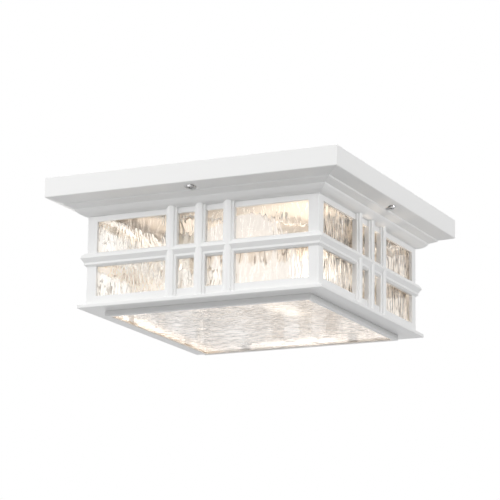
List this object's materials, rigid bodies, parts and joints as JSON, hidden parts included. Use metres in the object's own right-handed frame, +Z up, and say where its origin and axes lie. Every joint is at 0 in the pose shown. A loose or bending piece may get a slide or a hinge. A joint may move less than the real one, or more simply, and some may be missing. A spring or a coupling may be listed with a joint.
{
  "type": "outdoor ceiling light",
  "caption": "Square flush outdoor ceiling light: stepped crown, beaded window bars over rippled glass, lift-off cover, a glass bottom and bulbs lying inside.",
  "frame": {"origin": "centre of the mounting strap on the ceiling plane, midway between the two box-screw slots", "axes": "+Z up into the ceiling, +X to the right along the strap, -Y the front side; the light hangs below the origin"},
  "size_m": [0.3048, 0.3048, 0.1305],
  "materials": {
    "white_paint": "satin",
    "pan_paint": "satin",
    "rippled_glass": "gloss",
    "bright_screw": "polished",
    "zinc_steel": "satin",
    "ground_green": "satin",
    "bare_copper": "satin",
    "bushing_plastic": "matte",
    "connector_plastic": "matte",
    "porcelain": "gloss",
    "shell_metal": "satin",
    "contact_brass": "satin",
    "bulb_metal": "satin",
    "lit_bulb": "satin",
    "live_insulation": "satin",
    "neutral_insulation": "satin"
  },
  "bodies": {
    "root": {"ceiling_pan": "pan_paint", "mounting_strap": "zinc_steel", "strap_studs": "zinc_steel", "stud_cap_nuts": "zinc_steel", "ground_screw": "ground_green", "ground_lead": "bare_copper", "wire_bushing": "bushing_plastic", "wire_connectors": "connector_plastic", "bracket_screws": "zinc_steel", "holder_screws": "zinc_steel", "lamp_bracket_a": "zinc_steel", "lampholder_a": "porcelain", "screw_shell_a": "shell_metal", "centre_contact_a": "contact_brass", "live_lead_a": "live_insulation", "neutral_lead_a": "neutral_insulation", "lamp_bracket_b": "zinc_steel", "lampholder_b": "porcelain", "screw_shell_b": "shell_metal", "centre_contact_b": "contact_brass", "live_lead_b": "live_insulation", "neutral_lead_b": "neutral_insulation"},
    "cover": {"canopy_cap": "white_paint", "base_flange": "white_paint", "lens_frame": "white_paint", "lens_glass": "rippled_glass", "lens_clips": "zinc_steel", "clip_screws": "zinc_steel", "corner_screws": "zinc_steel", "side_frame_front": "white_paint", "side_frame_right": "white_paint", "side_frame_back": "white_paint", "side_frame_left": "white_paint", "side_glass_front": "rippled_glass", "side_glass_right": "rippled_glass", "side_glass_back": "rippled_glass", "side_glass_left": "rippled_glass", "corner_angle_front_left": "white_paint", "corner_angle_front_right": "white_paint", "corner_angle_back_right": "white_paint", "corner_angle_back_left": "white_paint"},
    "cover_screw_front": {"cover_screw_front": "bright_screw"},
    "cover_screw_right": {"cover_screw_right": "bright_screw"},
    "cover_screw_back": {"cover_screw_back": "bright_screw"},
    "cover_screw_left": {"cover_screw_left": "bright_screw"},
    "bulb_a": {"bulb_base_a": "bulb_metal", "bulb_glass_a": "lit_bulb"},
    "bulb_b": {"bulb_base_b": "bulb_metal", "bulb_glass_b": "lit_bulb"}
  },
  "joints": [
    {"name": "cover_drop", "type": "slide", "parent": "root", "child": "cover", "axis": [0, 0, -1], "range_m": [0, 0.12]},
    {"name": "screw_turn_front", "type": "hinge", "parent": "cover", "child": "cover_screw_front", "pos_m": [0, -0.1444, -0.0212], "axis": [0, 0, 1], "continuous": true},
    {"name": "screw_turn_right", "type": "hinge", "parent": "cover", "child": "cover_screw_right", "pos_m": [0.1444, 0, -0.0212], "axis": [0, 0, 1], "continuous": true},
    {"name": "screw_turn_back", "type": "hinge", "parent": "cover", "child": "cover_screw_back", "pos_m": [0, 0.1444, -0.0212], "axis": [0, 0, 1], "continuous": true},
    {"name": "screw_turn_left", "type": "hinge", "parent": "cover", "child": "cover_screw_left", "pos_m": [-0.1444, 0, -0.0212], "axis": [0, 0, 1], "continuous": true},
    {"name": "bulb_draw_a", "type": "slide", "parent": "root", "child": "bulb_a", "axis": [1, 0, 0], "range_m": [0, 0.026]},
    {"name": "bulb_draw_b", "type": "slide", "parent": "root", "child": "bulb_b", "axis": [-1, 0, 0], "range_m": [0, 0.026]}
  ]
}
